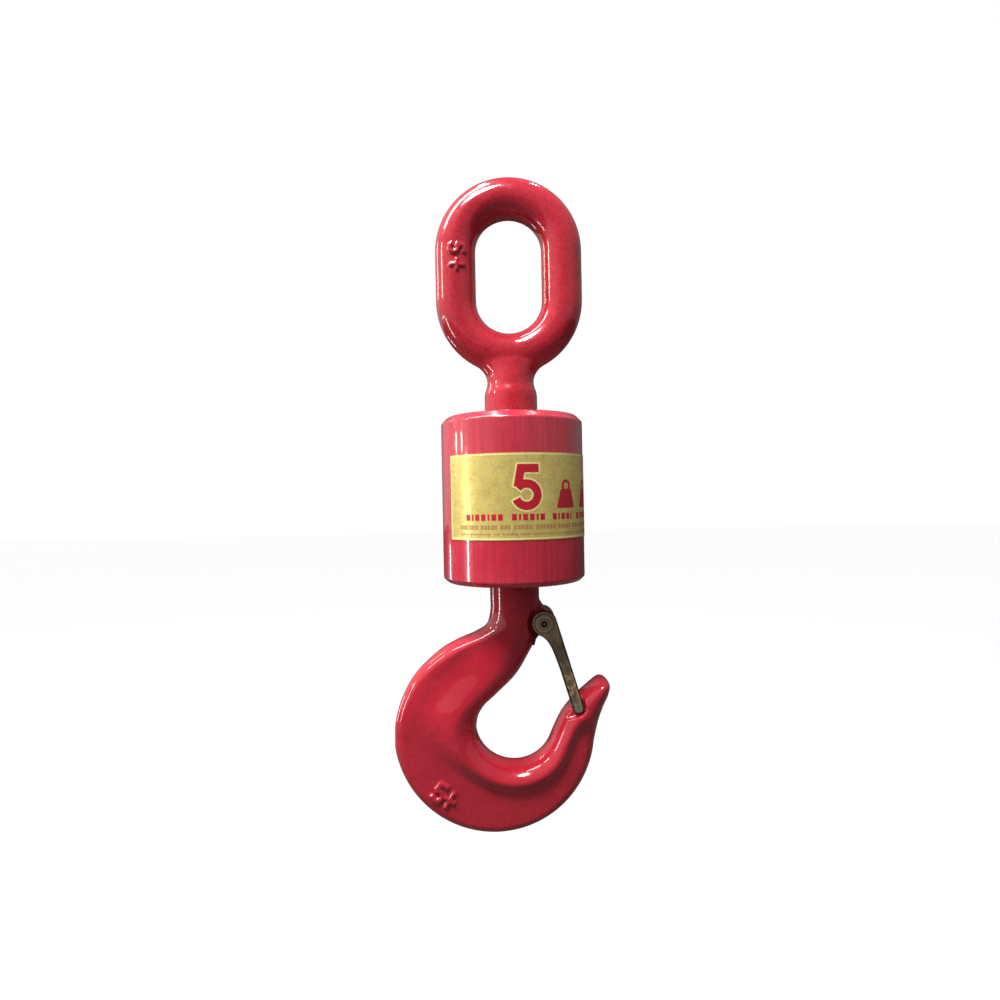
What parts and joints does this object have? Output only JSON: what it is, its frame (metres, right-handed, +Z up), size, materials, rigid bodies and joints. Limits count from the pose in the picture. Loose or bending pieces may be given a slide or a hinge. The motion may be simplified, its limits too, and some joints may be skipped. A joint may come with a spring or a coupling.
{
  "type": "swivel hook",
  "caption": "Lifting hook with a sprung safety latch, hung from an oblong eye by a round housing in which both shanks swivel on thrust bearings.",
  "frame": {"origin": "inside top of the oblong eye, on the swivel axis, where the eye hangs", "axes": "+Z up along the swivel axis, +X towards the hook's tip, +Y towards the back, so that -Y is the side with the latch pin's washer"},
  "size_m": [0.123, 0.0812, 0.3718],
  "materials": {
    "red_paint": "glossy red enamel over forged and turned steel",
    "gold_foil": "satin gold foil, printed red",
    "latch_steel": "bronze-brown passivated sheet steel",
    "dark_steel": "blackened steel",
    "spring_steel": "bright drawn wire",
    "bearing_steel": "ground and greased",
    "bronze": "machined bronze",
    "rubber": "matt black"
  },
  "bodies": {
    "eye": {"eye_bolt": "red_paint", "eye_shaft_washer": "bearing_steel", "eye_nut": "dark_steel", "eye_nut_pin": "dark_steel"},
    "eye_cage": {"eye_cage": "bronze", "eye_ball_01": "bearing_steel", "eye_ball_02": "bearing_steel", "eye_ball_03": "bearing_steel", "eye_ball_04": "bearing_steel", "eye_ball_05": "bearing_steel", "eye_ball_06": "bearing_steel", "eye_ball_07": "bearing_steel", "eye_ball_08": "bearing_steel", "eye_ball_09": "bearing_steel", "eye_ball_10": "bearing_steel", "eye_ball_11": "bearing_steel", "eye_ball_12": "bearing_steel"},
    "housing": {"upper_shell": "red_paint", "lower_shell": "red_paint", "rating_label": "gold_foil", "lock_screw_left": "dark_steel", "lock_screw_right": "dark_steel", "eye_seal": "rubber", "eye_bush": "bronze", "eye_housing_washer": "bearing_steel", "hook_seal": "rubber", "hook_bush": "bronze", "hook_housing_washer": "bearing_steel"},
    "hook_cage": {"hook_cage": "bronze", "hook_ball_01": "bearing_steel", "hook_ball_02": "bearing_steel", "hook_ball_03": "bearing_steel", "hook_ball_04": "bearing_steel", "hook_ball_05": "bearing_steel", "hook_ball_06": "bearing_steel", "hook_ball_07": "bearing_steel", "hook_ball_08": "bearing_steel", "hook_ball_09": "bearing_steel", "hook_ball_10": "bearing_steel", "hook_ball_11": "bearing_steel", "hook_ball_12": "bearing_steel"},
    "hook": {"hook": "red_paint", "hook_shaft_washer": "bearing_steel", "hook_nut": "dark_steel", "hook_nut_pin": "dark_steel", "latch_pin": "dark_steel", "latch_washer": "latch_steel", "latch_spring": "spring_steel"},
    "latch": {"latch": "latch_steel"}
  },
  "joints": [
    {"name": "housing_swivel", "type": "hinge", "parent": "eye", "child": "housing", "pos_m": [0, 0, -0.1327], "axis": [0, 0, 1], "continuous": true},
    {"name": "eye_cage_roll", "type": "hinge", "parent": "eye", "child": "eye_cage", "pos_m": [0, 0, -0.1327], "axis": [0, 0, 1], "continuous": true},
    {"name": "hook_swivel", "type": "hinge", "parent": "housing", "child": "hook", "pos_m": [0, 0, -0.1866], "axis": [0, 0, 1], "continuous": true},
    {"name": "hook_cage_roll", "type": "hinge", "parent": "housing", "child": "hook_cage", "pos_m": [0, 0, -0.1866], "axis": [0, 0, 1], "continuous": true},
    {"name": "latch_pivot", "type": "hinge", "parent": "hook", "child": "latch", "pos_m": [0.0158, 0, -0.2292], "axis": [0, 1, 0], "range_deg": [0, 45], "stiffness_Nm_per_rad": 0.06, "springref_deg": -34.38, "deforming": ["latch_spring"]}
  ],
  "couplings": [
    {"joint": "eye_cage_roll", "follows": "housing_swivel", "ratio": 0.5},
    {"joint": "hook_cage_roll", "follows": "hook_swivel", "ratio": 0.5}
  ]
}
